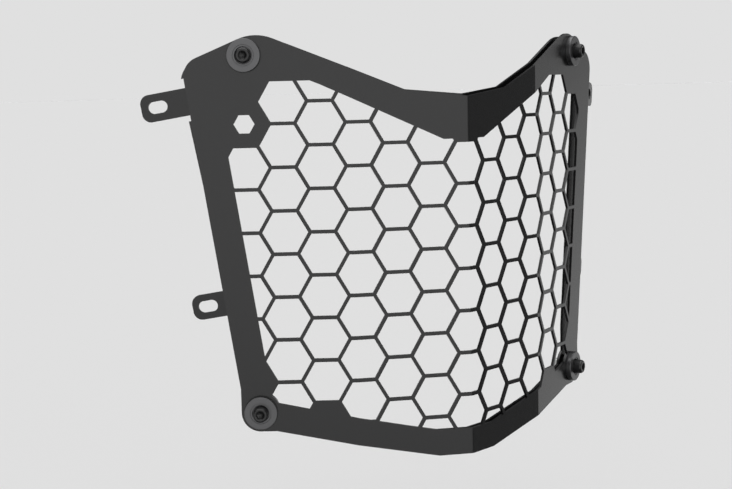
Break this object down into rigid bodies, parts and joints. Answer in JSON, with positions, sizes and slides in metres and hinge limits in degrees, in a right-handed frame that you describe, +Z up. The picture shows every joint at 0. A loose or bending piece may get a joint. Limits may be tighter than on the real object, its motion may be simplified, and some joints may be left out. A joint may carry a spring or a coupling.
{
  "type": "motorcycle headlight guard",
  "caption": "Folded honeycomb sheet guard for a motorcycle headlight, screwed over rubber spacers to an open frame with slotted tabs.",
  "frame": {"origin": "centre of the overall box", "axes": "-Y faces forwards, away from the bike; +Z is up; +X is to the right as seen from the front"},
  "size_m": [0.3184, 0.0876, 0.2386],
  "materials": {
    "powder_coat": "matte fine-grained powder coat",
    "black_steel": "satin blackened steel",
    "anodised": "satin dark anodised, turned",
    "rubber": "matte moulded rubber",
    "zinc_steel": "satin zinc plating"
  },
  "bodies": {
    "root": {"honeycomb_guard": "powder_coat", "rear_frame": "powder_coat", "cap_screw_upper_right": "black_steel", "cap_screw_upper_left": "black_steel", "cap_screw_lower_right": "black_steel", "cap_screw_lower_left": "black_steel", "disc_washer_upper_right": "anodised", "disc_washer_upper_left": "anodised", "disc_washer_lower_right": "anodised", "disc_washer_lower_left": "anodised", "rubber_spacer_upper_right": "rubber", "rubber_spacer_upper_left": "rubber", "rubber_spacer_lower_right": "rubber", "rubber_spacer_lower_left": "rubber", "plain_washer_upper_right": "zinc_steel", "plain_washer_upper_left": "zinc_steel", "plain_washer_lower_right": "zinc_steel", "plain_washer_lower_left": "zinc_steel", "lock_nut_upper_right": "zinc_steel", "lock_nut_upper_left": "zinc_steel", "lock_nut_lower_right": "zinc_steel", "lock_nut_lower_left": "zinc_steel"}
  },
  "joints": []
}
